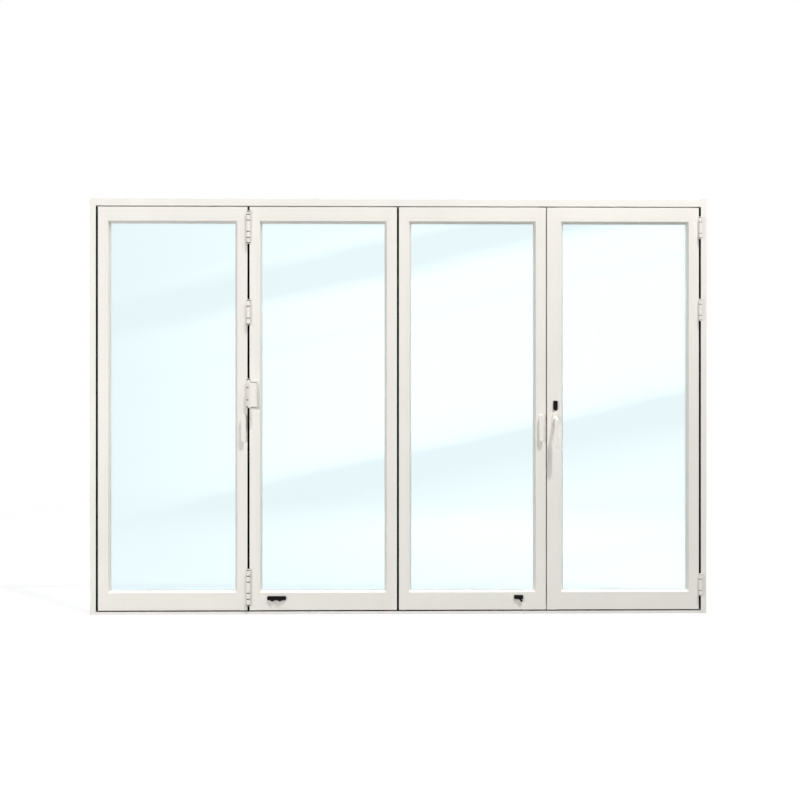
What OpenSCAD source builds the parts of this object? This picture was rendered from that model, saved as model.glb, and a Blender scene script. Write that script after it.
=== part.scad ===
// Bifold glass patio door: three folding leaves and one swing leaf in one frame.
// +X runs to the right as seen from the room, +Y runs to the garden, +Z is up.
// The origin is the middle of the threshold's underside.

/* [Frame] */
// Overall width of the frame
frame_w = 3120; // [2800:10:3600]
// Overall height of the frame
frame_h = 2100; // [1950:10:2400]
// Depth of the frame from the room to the garden
frame_d = 80; // [76:1:100]
// Face width of each jamb
jamb_face = 29; // [26:1:50]
// Face height of the head
head_face = 36; // [30:1:60]
// Height of the threshold
sill_h = 14; // [12:0.5:24]
// Wall thickness of the aluminium profiles
wall = 2; // [1.5:0.1:2.6]
// Radius of the profiles' outer edges
edge_r = 1.5; // [0.8:0.1:2]
// Depth of the insulating strips between the room shell and the garden shell
break_d = 14; // [10:1:18]

/* [Leaves] */
// Depth of each leaf
leaf_d = 70; // [66:1:74]
// Extra width of each leaf that stands at a jamb
jamb_extra = 8; // [0:1:12]
// Face width of a plain stile with its glazing bead
stile_face = 52; // [50:1:70]
// Face width of the lock stile with its glazing bead
lock_face = 72; // [72:1:90]
// Face height of a top rail with its glazing bead
top_face = 71.5; // [55:0.5:90]
// Face height of a bottom rail with its glazing bead
bottom_face = 90.5; // [84:0.5:120]
// Gap beside each hinged edge
hinge_gap = 10; // [10:0.5:13]
// Gap between the swing leaf and the folding leaf that it meets
meeting_gap = 6; // [6:0.5:9]
// Gap over the leaves
top_gap = 5.5; // [5.5:0.5:9]
// Gap under the leaves
bottom_gap = 6.5; // [6.5:0.5:10]
// Step back of the lock stile's edge, which clears the next leaf on the swing
lock_step = 7; // [7:0.5:9]
// Depth of the lock stile's edge before the step
lock_step_d = 20; // [14:1:22]
// Overlap of the third leaf's stop flange behind the lock stile
stop_lap = 10; // [6:1:16]
// Space between the stop flange and the lock stile
stop_gap = 5; // [5:0.5:6]

/* [Glazing] */
// Thickness of each pane
pane_t = 4; // [3:0.5:6]
// Space between the two panes
pane_space = 20; // [12:1:22]
// Depth from a leaf's room face to its glass
glass_set = 20; // [16:1:22]
// Width of a glazing bead's face
bead_face = 15; // [12:1:18]
// Width of a glazing bead's slope
bead_slope = 8; // [4:0.5:9]
// Overlap of the glass edge behind a bead's face
glass_bite = 9; // [6:0.5:10]
// Width of the spacer bar between the panes
spacer_w = 8; // [6:0.5:10]
// Hairline gap round each bead
seam = 0.2; // [0.1:0.1:0.4]

/* [Seals] */
// Depth of a gap seal from front to back
seal_d = 8; // [5:0.5:10]
// Set-back of a gap seal from the leaf's face
seal_set = 10; // [6:0.5:14]
// Width of the seal on the lock stile's step
step_seal_w = 6; // [3:0.5:6]
// Thickness of the gasket on the threshold
gasket_t = 1.5; // [1:0.1:1.5]
// Width of the gasket on the threshold
gasket_w = 36; // [20:1:60]

/* [Hinges] */
// Radius of a hinge barrel
barrel_r = 8.5; // [8:0.5:10]
// Chamfer round the ends of a knuckle
knuckle_chamfer = 0.8; // [0.4:0.1:1.2]
// Radius of a hinge pin
pin_r = 4; // [3:0.5:5]
// Running clearance between a pin and its knuckle
pin_play = 0.06; // [0.03:0.01:0.1]
// Distance from the leaf's face to the hinge axis
axis_set = 11; // [11:0.5:14]
// Thickness of a hinge flap inside the gap
flap_t = 2.5; // [2:0.1:2.5]
// Reach of a hinge flap into the gap
flap_reach = 32; // [24:1:34]
// Gap between two knuckles
knuckle_gap = 2; // [1:0.5:3]
// Height of a long middle knuckle
knuckle_mid = 56; // [40:1:70]
// Height of a knuckle beside the middle one
knuckle_side = 30; // [20:1:36]
// Height of an end knuckle
knuckle_end = 32; // [20:1:40]
// Height of the top end knuckle on the hinge that meets the head
knuckle_top = 17; // [14:1:40]
// Height of an end knuckle on a door hinge
door_knuckle_end = 25; // [18:1:32]
// Distance from the leaf's top edge to the top fold hinge
hinge_top_set = 23; // [15:1:60]
// Distance from the leaf's bottom edge to the bottom fold hinge
hinge_bottom_set = 27; // [15:1:60]
// Height of the upper fold hinge's middle above the leaf's bottom edge
hinge_upper_z = 1505; // [1400:5:1600]
// Height of the pull hinge's middle above the leaf's bottom edge
pull_z = 1096; // [1060:1:1150]
// Height of the lowest door hinge's middle above the leaf's bottom edge
door_low_z = 126.5; // [100:0.5:160]
// Height of the upper door hinge's middle above the leaf's bottom edge
door_upper_z = 1519.5; // [1400:0.5:1600]
// Distance from the leaf's top edge to the top door hinge's middle
door_top_set = 102.5; // [80:0.5:140]

/* [Pull grip] */
// Height of the grip
grip_h = 128; // [100:1:136]
// Width of the grip's flat plate between its bends
grip_w = 18; // [12:1:22]
// Outer radius of the lip at the grip's free edge
grip_lip_r = 10; // [7:0.5:12]
// Outer radius of the grip's bend
grip_bend_r = 15; // [12:0.5:18]
// Thickness of the grip
grip_t = 5; // [4:0.5:6]
// Distance from the leaf's face to the front of the grip
grip_out = 47; // [42:1:56]

/* [Lever handle] */
// Height of the spindle above the leaf's bottom edge
spindle_z = 970; // [900:5:1010]
// Distance of the spindle from the lock stile's edge
spindle_in = 42; // [39:1:46]
// Width of a rose
rose_w = 30; // [28:1:34]
// Height of a rose
rose_h = 66; // [50:1:76]
// Thickness of a rose
rose_t = 10; // [8:0.5:12]
// Length of a lever from its spindle to its tip
lever_len = 152; // [110:1:160]
// Width of a lever
lever_w = 20; // [14:0.5:24]
// Thickness of a lever
lever_t = 12; // [10:0.5:14]
// Distance from the leaf's face to the front of a lever
lever_out = 62; // [52:1:70]
// Radius of a lever's neck
neck_r = 8.5; // [8:0.5:10]
// Bend of the elbow between a lever's neck and its bar
elbow_bend = 14; // [12:0.5:18]
// Chamfer round the edges of the lever, the roses and the flat handles
edge_chamfer = 1.2; // [0.5:0.1:2]
// Radius of the spindle
spindle_r = 4; // [3:0.5:4.5]
// Width of the key cylinder's cover
cover_w = 22; // [20:1:26]
// Height of the key cylinder's cover
cover_h = 49; // [44:1:56]
// Thickness of the key cylinder's cover
cover_t = 8; // [6:0.5:12]
// Height from the spindle to the middle of the key cylinder's cover
cover_rise = 64; // [62:1:76]

/* [Flat handles] */
// Length of a flat handle below its spindle
flat_len = 119; // [90:1:130]
// Length of a flat handle above its spindle
flat_over = 18; // [13:1:24]
// Width of a flat handle
flat_w = 24; // [20:1:26]
// Thickness of a flat handle
flat_t = 7; // [6:0.5:10]
// Finger space behind a flat handle
flat_gap = 11; // [10:1:18]
// Height of a flat handle's base
flat_base_t = 5; // [4:0.5:6]
// Distance of the first leaf's flat handle from its stile's edge
flat_in_1 = 19; // [17:1:23]
// Distance of the third leaf's flat handle from its stile's edge
flat_in_3 = 24; // [17:1:25]

/* [Catches] */
// Width of the catch on the second leaf
catch_w = 95; // [80:1:120]
// Height of the catch on the second leaf
catch_h = 20; // [16:1:22]
// Thickness of each catch
catch_t = 8; // [6:0.5:12]
// Radius of the two round knobs on the second leaf's catch
knob_r = 12; // [8:0.5:13]
// Width of the catch on the third leaf
latch_w = 46; // [40:1:60]
// Height of the catch on the third leaf
latch_h = 20; // [16:1:22]
// Distance from the second leaf's edge to its catch
catch_in = 90; // [60:1:140]
// Distance from the third leaf's edge to its catch
latch_in = 116; // [70:1:160]
// Height of the second leaf's catch above the leaf's bottom edge
catch_low = 52; // [40:1:54]
// Height of the third leaf's catch above the leaf's bottom edge
latch_low = 55; // [40:1:56]
// Length of the tongue that hangs from the third leaf's catch
tongue_len = 34; // [28:1:40]
// Tilt of the tongue away from upright
tongue_tilt = 38; // [0:1:45]

/* [Fixings] */
// Radius of the fixing holes through the jambs
fixing_r = 4; // [3:0.5:5]
// Distance between the two fixing holes in a jamb
fixing_span = 1500; // [1200:10:1700]
// Depth of the fixing holes behind the frame's room face
fixing_set = 64; // [60:1:68]

/* [Hidden] */
$fn = 48;

cream = [0.93, 0.92, 0.87];
black = [0.08, 0.08, 0.08];
glass_tint = [0.8, 0.93, 0.96, 0.4];
spacer_grey = [0.55, 0.56, 0.57];

// Room faces lie on room_y, the leaves' garden faces on leaf_back
room_y = -frame_d / 2;
leaf_back = room_y + leaf_d;
leaf_z0 = sill_h + bottom_gap;
leaf_z1 = frame_h - head_face - top_gap;
leaf_h = leaf_z1 - leaf_z0;
inner_w = frame_w - 2 * jamb_face;
leaf_w = (inner_w - 4 * hinge_gap - meeting_gap - 2 * jamb_extra - (lock_face - stile_face)) / 4;
first_w = leaf_w + jamb_extra;
swing_w = leaf_w + jamb_extra + lock_face - stile_face;
first_x = -inner_w / 2 + hinge_gap;
leaf_x = [
    first_x,
    first_x + first_w + hinge_gap,
    first_x + first_w + leaf_w + 2 * hinge_gap,
    inner_w / 2 - hinge_gap - swing_w
];
leaf_ws = [first_w, leaf_w, leaf_w, swing_w];
left_faces = [stile_face, stile_face, stile_face, lock_face];

glass_back = glass_set + 2 * pane_t + pane_space;
room_shell_d = (leaf_d - break_d) / 2 - 2;
garden_shell_d = leaf_d - break_d - room_shell_d;
frame_shell_d = (frame_d - break_d) / 2;
web_t = 3;
web_in = 6;
bead_wall = 1.5;
bead_lip = 2;

// Middles of the four hinged gaps
gap_x = [for (i = [0:2]) leaf_x[i] - hinge_gap / 2];
door_axis_x = inner_w / 2 - hinge_gap / 2;

five_top = [knuckle_end - 4, knuckle_side, knuckle_mid, knuckle_side, knuckle_top];
five_bottom = [knuckle_end, knuckle_side, knuckle_mid, knuckle_side, knuckle_end];
three_fold = [knuckle_end, knuckle_mid + 4, knuckle_end];
three_pull = [knuckle_end + 6, knuckle_mid + 6, knuckle_end + 10];
three_door = [door_knuckle_end, knuckle_mid, door_knuckle_end];

function sum(list, n, i = 0) = i >= n ? 0 : list[i] + sum(list, n, i + 1);
function hinge_h(list) = sum(list, len(list));
top_hinge_z = leaf_z1 - hinge_top_set - hinge_h(five_top);
upper_hinge_z = leaf_z0 + hinge_upper_z - hinge_h(three_fold) / 2;
pull_hinge_z = leaf_z0 + pull_z - hinge_h(three_pull) / 2;
bottom_hinge_z = leaf_z0 + hinge_bottom_set;
door_hinge_mids = [leaf_z0 + door_low_z, leaf_z0 + door_upper_z, leaf_z1 - door_top_set];
door_hinge_zs = [for (z = door_hinge_mids) z - hinge_h(three_door) / 2];

lever_x = leaf_x[3] + spindle_in;
lever_z = leaf_z0 + spindle_z;
flat_x1 = leaf_x[0] + first_w - flat_in_1;
flat_x3 = leaf_x[2] + leaf_w - flat_in_3;
flat_hub_r = 9;
flat_pin_r = 7;
handle_play = 0.3;

// The round recess for the key in a lock cover, and the corners of the covers and catches
key_r = 6;
key_recess = 2;
key_rise = 8;
cover_corner = 3;
catch_corner = 6;
latch_corner = 4;

// A rectangle between two corners, in the plane of a section
module area(u0, d0, u1, d1) {
    translate([u0, d0]) square([u1 - u0, d1 - d0]);
}

// The sliver outside a rounded corner, whose corner lies at u, d
module corner_waste(u, d, su, sd) {
    translate([u, d]) mirror([su < 0 ? 1 : 0, 0]) mirror([0, sd < 0 ? 1 : 0]) difference() {
        translate([-1, -1]) square(edge_r + 1);
        translate([edge_r, edge_r]) circle(edge_r);
    }
}

// Section of a leaf's bar: u runs inwards from its outer edge, d from the room face
module leaf_section(face, step = 0) {
    body = face - bead_face;
    garden_d = leaf_d - garden_shell_d;
    difference() {
        union() {
            area(0, 0, body, room_shell_d);
            for (u = [step + web_in, body - web_in - web_t])
                area(u, room_shell_d - wall / 2, u + web_t, garden_d + wall / 2);
            area(step, garden_d, body, leaf_d);
            area(body - wall, glass_back, face, leaf_d);
        }
        if (step > 0) area(-1, lock_step_d, step, leaf_d + 1);
        area(wall, wall, body - wall, (step > 0 ? lock_step_d : room_shell_d) - wall);
        if (step > 0) area(step + wall, wall, body - wall, room_shell_d - wall);
        area(step + wall, garden_d + wall, body - wall, leaf_d - wall);
        area(body - 2 * wall, glass_back + wall, face - wall, leaf_d - wall);
        corner_waste(0, 0, 1, 1);
        corner_waste(step, leaf_d, 1, -1);
        corner_waste(face, leaf_d, -1, -1);
    }
}

// Section of a glazing bead that snaps in beside the bar's body
module bead_section(face) {
    u0 = face - bead_face + seam;
    tip = face + bead_slope;
    lip = bead_lip;
    difference() {
        union() {
            polygon([[u0, seam], [face - lip, seam], [face, lip + seam],
                [tip, glass_set - lip], [tip, glass_set], [u0, glass_set]]);
            translate([face - lip, lip + seam]) circle(lip);
        }
        polygon([[u0 + bead_wall, bead_wall + seam], [face - lip, bead_wall + seam],
            [tip - bead_wall - 1, glass_set - bead_wall], [u0 + bead_wall, glass_set - bead_wall]]);
    }
}

// Section of a jamb: u runs inwards from its outer face
module jamb_section() {
    difference() {
        union() {
            area(0, 0, jamb_face, frame_shell_d);
            for (u = [web_in, jamb_face - web_in - web_t])
                area(u, frame_shell_d - wall / 2, u + web_t, frame_d - frame_shell_d + wall / 2);
            area(0, frame_d - frame_shell_d, jamb_face, frame_d);
        }
        area(wall, wall, jamb_face - wall, frame_shell_d - wall);
        area(wall, frame_d - frame_shell_d + wall, jamb_face - wall, frame_d - wall);
        corner_waste(jamb_face, 0, -1, 1);
        corner_waste(0, 0, 1, 1);
        corner_waste(jamb_face, frame_d, -1, -1);
        corner_waste(0, frame_d, 1, -1);
    }
}

// Section of the head: u runs down from its top, with the track's channel underneath
track_w = 18;
track_h = 22;
module head_section() {
    slot_d = frame_d / 2 + 4;
    difference() {
        area(0, 0, head_face, frame_d);
        area(wall, wall, head_face - wall, slot_d - track_w / 2 - 2 * wall);
        area(wall, slot_d - track_w / 2 - wall, head_face - track_h - wall, slot_d + track_w / 2 + wall);
        area(wall, slot_d + track_w / 2 + 2 * wall, head_face - wall, frame_d - wall);
        area(head_face - track_h, slot_d - track_w / 2 - wall, head_face - 2 * wall,
            slot_d + track_w / 2 + wall);
        area(head_face - 3 * wall, slot_d - track_w / 4, head_face + 1, slot_d + track_w / 4);
        corner_waste(head_face, 0, -1, 1);
        corner_waste(0, 0, 1, 1);
        corner_waste(head_face, frame_d, -1, -1);
        corner_waste(0, frame_d, 1, -1);
    }
}

// Section of the threshold: u runs up from its underside
module threshold_section() {
    fall = 3;
    difference() {
        polygon([[0, 0], [0, frame_d], [sill_h - fall - wall, frame_d],
            [sill_h, frame_d * 0.8], [sill_h, 0]]);
        for (k = [0:2])
            area(wall, frame_d * k / 4 + wall, sill_h - wall, frame_d * (k + 1) / 4 - wall / 2);
        corner_waste(sill_h, 0, -1, 1);
    }
}

// A section drawn up from height z, its outer edge at x
module upright(x, z, length, flip = false) {
    translate([x, room_y, z]) mirror([flip ? 1 : 0, 0, 0]) linear_extrude(length) children();
}

// A section drawn to the right from x, its outer edge at height z, hanging down or flipped up
module crossbar(x, z, length, flip = false) {
    translate([x, room_y, z]) mirror([0, 0, flip ? 1 : 0]) rotate([0, 90, 0])
        linear_extrude(length) children();
}

module head() {
    color(cream) crossbar(-inner_w / 2, frame_h, inner_w) head_section();
}

module threshold() {
    color(cream) crossbar(-inner_w / 2, 0, inner_w, true) threshold_section();
}

module jamb(side) {
    color(cream) difference() {
        upright(side * frame_w / 2, 0, frame_h, side > 0) jamb_section();
        for (z = [-1, 1])
            translate([side * frame_w / 2, room_y + fixing_set, frame_h / 2 + z * fixing_span / 2])
                rotate([0, 90, 0]) cylinder(r = fixing_r, h = 3 * jamb_face, center = true);
    }
}

module left_stile(i) {
    step = i == 3 ? lock_step : 0;
    color(cream) difference() {
        upright(leaf_x[i], leaf_z0, leaf_h) leaf_section(left_faces[i], step);
        if (i == 3) translate([lever_x, 0, lever_z]) rotate([90, 0, 0])
            cylinder(r = spindle_r + 1.5, h = 3 * frame_d, center = true);
    }
}

// The third leaf's stop flange, which laps behind the lock stile from the garden side
module stop_section() {
    foot = 3 * wall;
    back = leaf_d + stop_gap;
    area(foot - wall, leaf_d - wall / 2, foot, back + wall);
    area(-meeting_gap - lock_step - stop_lap, back, foot, back + wall);
}

module right_stile(i) {
    color(cream) upright(leaf_x[i] + leaf_ws[i], leaf_z0, leaf_h, true) {
        leaf_section(stile_face);
        if (i == 2) stop_section();
    }
}

// The parts of the two stiles' glazing flanges that a rail is scribed round
module stile_flanges(i) {
    for (span = [[leaf_x[i], left_faces[i]], [leaf_x[i] + leaf_ws[i] - stile_face, stile_face]])
        translate([span[0], room_y + glass_back, leaf_z0 - 1])
            cube([span[1], leaf_d, leaf_h + 2]);
}

module rail(i, face, z, flip) {
    body = left_faces[i] - bead_face;
    length = leaf_ws[i] - body - (stile_face - bead_face);
    color(cream) difference() {
        crossbar(leaf_x[i] + body, z, length, flip) leaf_section(face);
        stile_flanges(i);
    }
}

module top_rail(i) {
    rail(i, top_face, leaf_z1, false);
}

module bottom_rail(i) {
    rail(i, bottom_face, leaf_z0, true);
}

// Places its children in each leaf's glazing opening, with its width and height passed on
function glazing_x(i) = leaf_x[i] + left_faces[i];
function glazing_w(i) = leaf_ws[i] - left_faces[i] - stile_face;
glazing_z = leaf_z0 + bottom_face;
glazing_h = leaf_h - bottom_face - top_face;

// Four mitred bars round the glazing opening
module beads(i) {
    x0 = glazing_x(i) - bead_face;
    x1 = glazing_x(i) + glazing_w(i) + bead_face;
    z0 = glazing_z - bead_face;
    z1 = glazing_z + glazing_h + bead_face;
    t = bead_face + bead_slope + 1;
    color(cream) {
        intersection() {
            crossbar(x0, leaf_z0, x1 - x0, true) bead_section(bottom_face);
            mitre([[x0 + seam, z0], [x1 - seam, z0], [x1 - seam - t, z0 + t], [x0 + seam + t, z0 + t]]);
        }
        intersection() {
            crossbar(x0, leaf_z1, x1 - x0) bead_section(top_face);
            mitre([[x0 + seam, z1], [x1 - seam, z1], [x1 - seam - t, z1 - t], [x0 + seam + t, z1 - t]]);
        }
        intersection() {
            upright(leaf_x[i], z0, z1 - z0) bead_section(left_faces[i]);
            mitre([[x0, z0 + seam], [x0, z1 - seam], [x0 + t, z1 - seam - t], [x0 + t, z0 + seam + t]]);
        }
        intersection() {
            upright(leaf_x[i] + leaf_ws[i], z0, z1 - z0, true) bead_section(stile_face);
            mitre([[x1, z0 + seam], [x1, z1 - seam], [x1 - t, z1 - seam - t], [x1 - t, z0 + seam + t]]);
        }
    }
}

// A block through the leaf's depth with the given outline in X and Z
module mitre(outline) {
    translate([0, room_y + leaf_d, 0]) rotate([90, 0, 0]) linear_extrude(leaf_d + 1) polygon(outline);
}

module glass(i) {
    color(glass_tint) for (d = [glass_set, glass_set + pane_t + pane_space])
        translate([glazing_x(i) - glass_bite, room_y + d, glazing_z - glass_bite])
            cube([glazing_w(i) + 2 * glass_bite, pane_t, glazing_h + 2 * glass_bite]);
}

module spacers(i) {
    set = glass_bite - 2;
    x0 = glazing_x(i) - set;
    x1 = glazing_x(i) + glazing_w(i) + set;
    z0 = glazing_z - set;
    z1 = glazing_z + glazing_h + set;
    y = room_y + glass_set + pane_t;
    color(spacer_grey) {
        for (z = [z0, z1 - spacer_w]) translate([x0, y, z]) cube([x1 - x0, pane_space, spacer_w]);
        for (x = [x0, x1 - spacer_w]) translate([x, y, z0 + spacer_w + seam])
            cube([spacer_w, pane_space, z1 - z0 - 2 * (spacer_w + seam)]);
    }
}

module folding_spacers() {
    for (i = [0:2]) spacers(i);
}

// A turned knuckle with chamfered ends
module knuckle(h) {
    c = knuckle_chamfer;
    rotate_extrude()
        polygon([[0, 0], [barrel_r - c, 0], [barrel_r, c], [barrel_r, h - c], [barrel_r - c, h], [0, h]]);
}

// One half of a hinge on the axis at the local origin, its leaf's face at y = axis_set.
// side is -1 or 1, turns lists the knuckles that belong to this half.
module hinge_half(list, side, turns, reach = flap_reach) {
    h = hinge_h(list);
    edge = hinge_gap / 2;
    difference() {
        union() {
            translate([side > 0 ? edge - flap_t : -edge, axis_set, 0]) cube([flap_t, reach, h]);
            for (k = turns) {
                z = sum(list, k) + (k == 0 ? 0 : knuckle_gap / 2);
                kh = list[k] - knuckle_gap / 2 * ((k == 0 ? 0 : 1) + (k == len(list) - 1 ? 0 : 1));
                translate([0, 0, z]) {
                    knuckle(kh);
                    translate([side > 0 ? edge - flap_t : -edge, 0, 0]) cube([flap_t, axis_set + 1, kh]);
                }
            }
        }
        translate([0, 0, -1]) cylinder(r = pin_r + pin_play, h = h + 2);
    }
}

// The pin runs through all the knuckles and is held by the end ones
module hinge_pin(list) {
    h = hinge_h(list);
    cylinder(r = pin_r, h = h);
    for (z = [0, h - 3]) translate([0, 0, z]) cylinder(r = pin_r + 1, h = 3);
}

function evens(list) = [for (k = [0:2:len(list) - 1]) k];
function odds(list) = [for (k = [1:2:len(list) - 1]) k];

// A whole hinge of a folding joint, its end knuckles with the pin on the given side
module fold_hinge(list, side, reach = flap_reach) {
    union() {
        hinge_half(list, side, evens(list), reach);
        hinge_pin(list);
    }
    hinge_half(list, -side, odds(list), reach);
}

module at_room_axis(x, z) {
    translate([x, room_y - axis_set, z]) children();
}

module at_garden_axis(x, y, z) {
    translate([x, y + axis_set, z]) rotate([0, 0, 180]) children();
}

module inner_fold_hinges() {
    color(cream) {
        at_room_axis(gap_x[1], top_hinge_z) fold_hinge(five_top, -1);
        at_room_axis(gap_x[1], upper_hinge_z) fold_hinge(three_fold, -1);
        at_room_axis(gap_x[1], bottom_hinge_z) fold_hinge(five_bottom, -1);
    }
}

// A quarter of a ring in one corner of its outer circle, given by the signs su and sd
module quarter_bend(u, d, r, su, sd) {
    translate([u, d]) intersection() {
        difference() {
            circle(r);
            circle(r - grip_t);
        }
        mirror([su < 0 ? 1 : 0, 0]) mirror([0, sd < 0 ? 1 : 0]) square(r);
    }
}

// The grip's plan: a neck from the barrel, a bend, a flat plate and a lip turned back to the leaf
module grip_plan() {
    x0 = 3;
    front = axis_set - grip_out;
    x1 = x0 + grip_bend_r;
    x2 = x1 + grip_w;
    translate([x0, front + grip_bend_r]) square([grip_t, -front - grip_bend_r]);
    quarter_bend(x1, front + grip_bend_r, grip_bend_r, -1, -1);
    translate([x1, front]) square([grip_w, grip_t]);
    quarter_bend(x2, front + grip_lip_r, grip_lip_r, 1, -1);
    translate([x2 + grip_lip_r - grip_t / 2, front + grip_lip_r]) circle(grip_t / 2);
}

module pull_hinge() {
    color(cream) at_room_axis(gap_x[1], pull_hinge_z) {
        union() {
            hinge_half(three_pull, -1, odds(three_pull));
        }
        union() {
            hinge_half(three_pull, 1, evens(three_pull));
            hinge_pin(three_pull);
            difference() {
                linear_extrude(grip_h) grip_plan();
                translate([0, 0, three_pull[0] - knuckle_gap / 2])
                    cylinder(r = barrel_r + 1, h = three_pull[1] + knuckle_gap);
            }
        }
    }
}

module outer_fold_hinges() {
    color(cream) {
        at_garden_axis(gap_x[2], leaf_back, top_hinge_z) fold_hinge(five_top, -1);
        at_garden_axis(gap_x[2], leaf_back, upper_hinge_z) fold_hinge(three_fold, -1);
        at_garden_axis(gap_x[2], leaf_back, bottom_hinge_z) fold_hinge(five_bottom, -1);
    }
}

module outer_jamb_hinges() {
    reach = flap_reach + frame_d - leaf_d;
    color(cream) for (z = door_hinge_zs)
        at_garden_axis(gap_x[0], room_y + frame_d, z) fold_hinge(three_door, 1, reach);
}

module door_hinge_frame_halves() {
    color(cream) for (z = door_hinge_zs) at_room_axis(door_axis_x, z) {
        hinge_half(three_door, 1, evens(three_door));
        hinge_pin(three_door);
    }
}

module door_hinge_leaf_halves() {
    color(cream) for (z = door_hinge_zs) at_room_axis(door_axis_x, z)
        hinge_half(three_door, -1, odds(three_door));
}

// Upright strip in a gap, cut away at hinges of the given heights
module gap_strip(x, width, d, zs, hs) {
    difference() {
        translate([x, room_y + d, leaf_z0]) cube([width, seal_d, leaf_h]);
        if (len(zs) > 0) for (k = [0:len(zs) - 1])
            translate([x - 1, room_y - 1, zs[k] - seam]) cube([width + 2, frame_d + 2, hs[k] + 2 * seam]);
    }
}

module seals() {
    fold_zs = [top_hinge_z, upper_hinge_z, bottom_hinge_z];
    fold_hs = [hinge_h(five_top), hinge_h(three_fold), hinge_h(five_bottom)];
    pull_zs = concat(fold_zs, [pull_hinge_z]);
    pull_hs = concat(fold_hs, [hinge_h(three_pull)]);
    door_hs = [for (z = door_hinge_zs) hinge_h(three_door)];
    back = leaf_d - seal_set - seal_d;
    color(black) {
        gap_strip(gap_x[0] - hinge_gap / 2, hinge_gap, seal_set, [], []);
        gap_strip(gap_x[0] - hinge_gap / 2, hinge_gap, back, door_hinge_zs, door_hs);
        gap_strip(gap_x[1] - hinge_gap / 2, hinge_gap, seal_set, pull_zs, pull_hs);
        gap_strip(gap_x[1] - hinge_gap / 2, hinge_gap, back, [], []);
        gap_strip(gap_x[2] - hinge_gap / 2, hinge_gap, seal_set, [], []);
        gap_strip(gap_x[2] - hinge_gap / 2, hinge_gap, back, fold_zs, fold_hs);
        gap_strip(inner_w / 2 - hinge_gap / 2, hinge_gap / 2, seal_set, door_hinge_zs, door_hs);
        translate([-inner_w / 2, room_y + edge_r, sill_h]) cube([inner_w, gasket_w, gasket_t]);
    }
}

module leaf4_seals() {
    color(black) {
        gap_strip(leaf_x[3] + swing_w, hinge_gap / 2, leaf_d - 2 * seal_d, [], []);
        gap_strip(leaf_x[3] + lock_step - step_seal_w, step_seal_w, lock_step_d + seal_d / 2, [], []);
    }
}

// A tablet with round ends, standing on the plane y = 0 and reaching to y = -t,
// chamfered by c round its front and by back round its rear
module tablet(w, h, t, c = 0, back = 0) {
    half = [[0, 0], [w / 2 - back, 0], [w / 2, back], [w / 2, t - c], [w / 2 - c, t], [0, t]];
    translate([0, 0, -(h - w) / 2]) linear_extrude(h - w) {
        mirror([0, 1]) polygon(half);
        rotate(180) polygon(half);
    }
    for (z = [-1, 1]) translate([0, 0, z * (h - w) / 2]) rotate([90, 0, 0]) rotate_extrude() polygon(half);
}

// A plate with round corners, its lower left corner at the origin, reaching to y = -t
module round_plate(w, h, t, r) {
    rotate([90, 0, 0]) linear_extrude(t) {
        area(r, 0, w - r, h);
        area(0, r, w, h - r);
        for (x = [r, w - r]) for (z = [r, h - r]) translate([x, z]) circle(r);
    }
}

// A shield with a round foot and nearly square shoulders, centred on the plane y = 0
module shield(w, h, t, r) {
    rotate([90, 0, 0]) linear_extrude(t) {
        translate([0, (w - h) / 2]) circle(w / 2);
        area(-w / 2, (w - h) / 2, w / 2, h / 2 - r);
        area(-w / 2 + r, (w - h) / 2, w / 2 - r, h / 2);
        for (x = [r - w / 2, w / 2 - r]) translate([x, h / 2 - r]) circle(r);
    }
}

// Room side and garden side copies of what stands on a leaf's face
module both_faces() {
    translate([0, room_y, 0]) children();
    translate([0, leaf_back, 0]) mirror([0, 1, 0]) children();
}

module lever_roses() {
    color(cream) translate([lever_x, 0, lever_z]) both_faces() difference() {
        tablet(rose_w, rose_h, rose_t, edge_chamfer);
        rotate([90, 0, 0]) translate([0, 0, -1]) cylinder(r = neck_r + pin_play, h = rose_t + 2);
    }
}

// The lever on one side: a neck out of the rose, an elbow and a bar that hangs from it
module lever_bar() {
    stem_r = lever_t / 2;
    elbow_out = lever_out - stem_r - elbow_bend;
    top = lever_w / 2 - elbow_bend;
    rotate([90, 0, 0]) translate([0, 0, 1]) cylinder(r = neck_r, h = elbow_out - 1);
    translate([0, -elbow_out, -elbow_bend]) rotate([0, 90, 0]) rotate([0, 0, 180])
        rotate_extrude(angle = 90) translate([elbow_bend, 0]) circle(stem_r);
    translate([0, lever_t - lever_out, (top - lever_len) / 2])
        tablet(lever_w, lever_len + top, lever_t, edge_chamfer, edge_chamfer);
}

module lever() {
    color("white") translate([lever_x, 0, lever_z]) {
        both_faces() lever_bar();
        translate([0, leaf_back + 2, 0]) rotate([90, 0, 0]) cylinder(r = spindle_r, h = leaf_d + 4);
    }
}

module lock_covers() {
    color(black) translate([lever_x, 0, lever_z + cover_rise]) both_faces() difference() {
        shield(cover_w, cover_h, cover_t, cover_corner);
        translate([0, key_recess - cover_t, key_rise]) rotate([90, 0, 0])
            cylinder(r = key_r, h = key_recess + 1);
    }
}

module flat_handle_bases() {
    color(cream) for (x = [flat_x1, flat_x3]) translate([x, room_y, lever_z]) difference() {
        tablet(flat_w - 2, flat_w + 14, flat_base_t);
        rotate([90, 0, 0]) translate([0, 0, -1]) cylinder(r = flat_pin_r + pin_play, h = flat_base_t + 2);
    }
}

module flat_handle(x) {
    color(cream) translate([x, room_y, lever_z]) {
        rotate([90, 0, 0]) translate([0, 0, handle_play]) cylinder(r = flat_pin_r, h = flat_gap);
        rotate([90, 0, 0]) translate([0, 0, flat_base_t + handle_play])
            cylinder(r = flat_hub_r, h = flat_gap - flat_base_t);
        translate([0, -flat_gap, (flat_over - flat_len) / 2])
            tablet(flat_w, flat_over + flat_len, flat_t, edge_chamfer, edge_chamfer);
    }
}

module leaf1_flat_handle() {
    flat_handle(flat_x1);
}

module leaf3_flat_handle() {
    flat_handle(flat_x3);
}

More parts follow.
